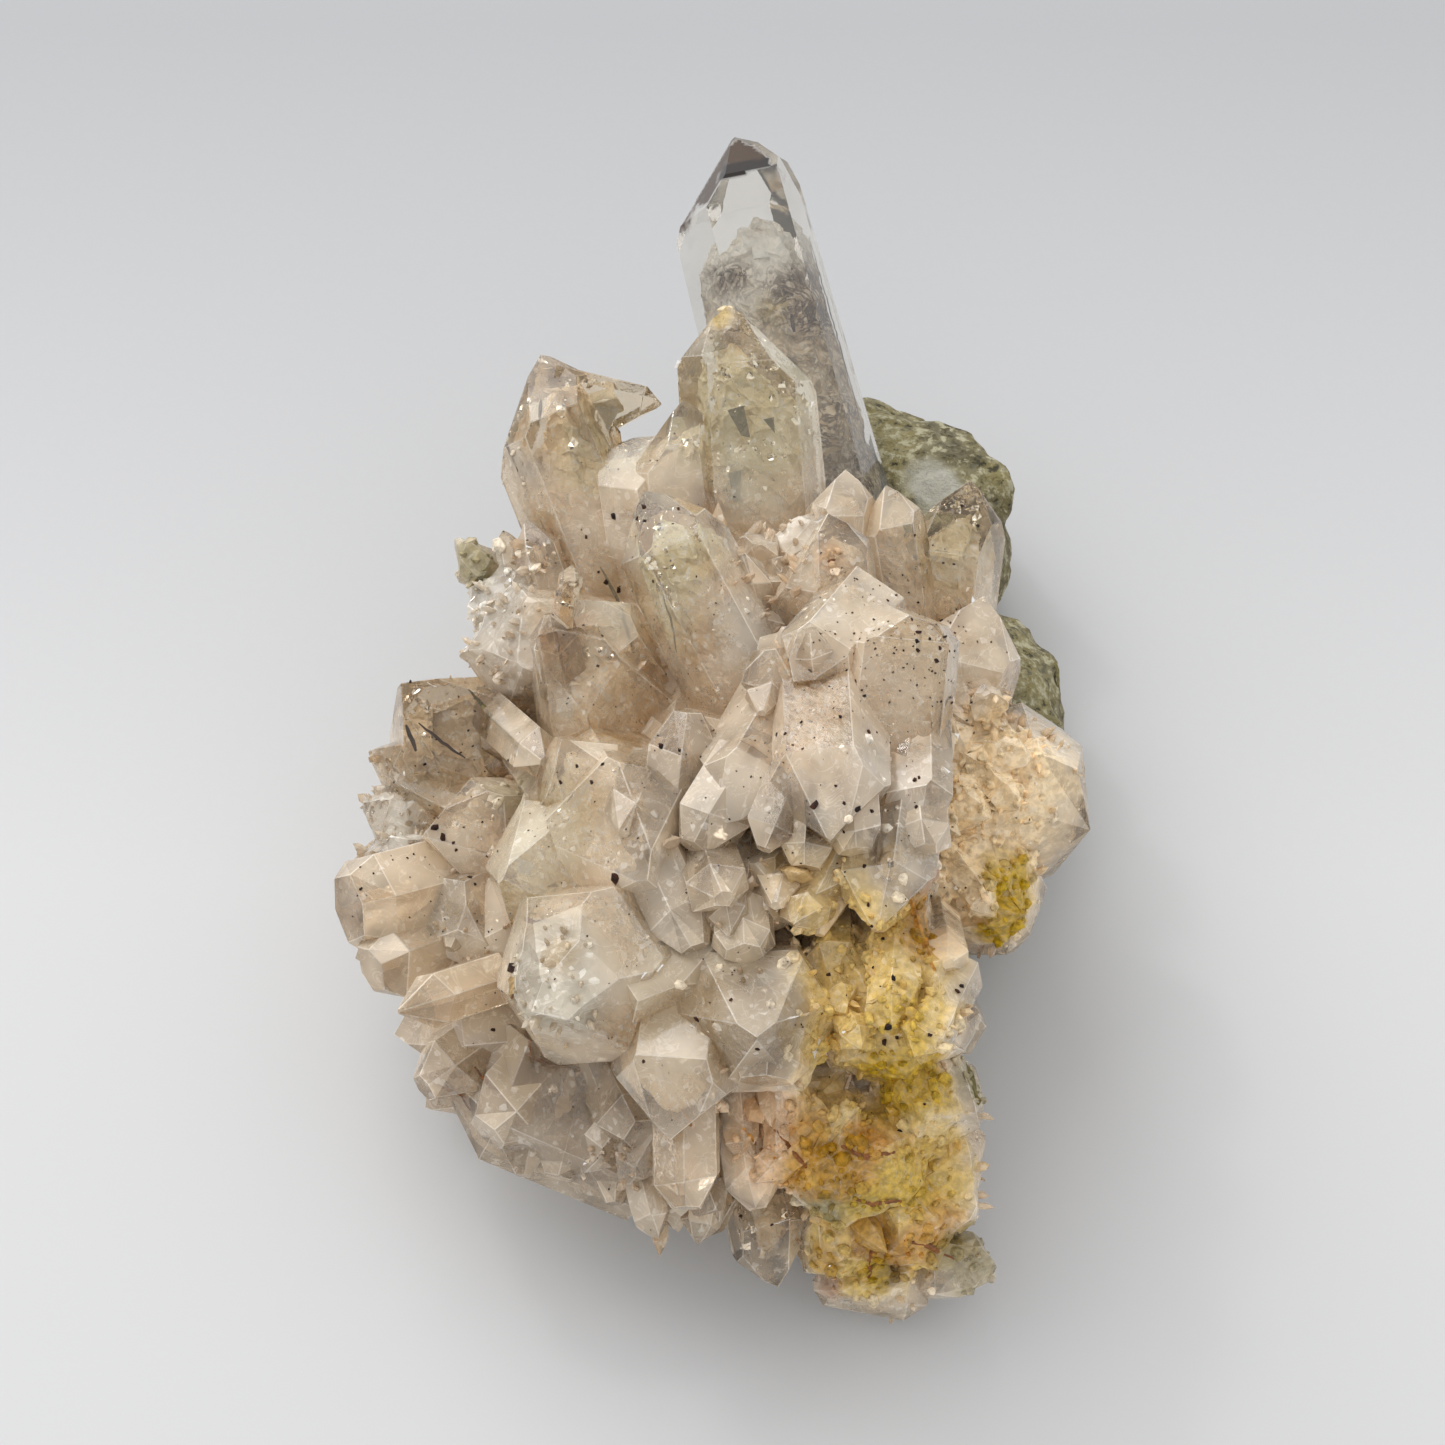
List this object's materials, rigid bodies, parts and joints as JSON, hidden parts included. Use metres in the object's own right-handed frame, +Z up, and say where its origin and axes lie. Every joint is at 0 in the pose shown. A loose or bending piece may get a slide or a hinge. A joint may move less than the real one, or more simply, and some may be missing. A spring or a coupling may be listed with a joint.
{
  "type": "quartz crystal cluster",
  "caption": "Hand-size specimen of clear quartz: pointed crystals grown together on green-grey rock, with one tall clear point behind, for display lying on its flat rock foot.",
  "frame": {"origin": "on the flat foot of the rock, level with the table it rests on", "axes": "+Z up, +Y towards the tall point, from the front edge of the specimen to its back, and +X to the right of the specimen's front"},
  "size_m": [0.0636, 0.1049, 0.0438],
  "materials": {
    "green_grey_rock": "rough, grainy and mottled",
    "milky_quartz": "milky and translucent with glossy faces",
    "clear_quartz": "clear and glossy, slightly smoky"
  },
  "bodies": {
    "root": {"rock_matrix": "green_grey_rock", "quartz_cluster": "milky_quartz", "tall_point": "clear_quartz"}
  },
  "joints": []
}
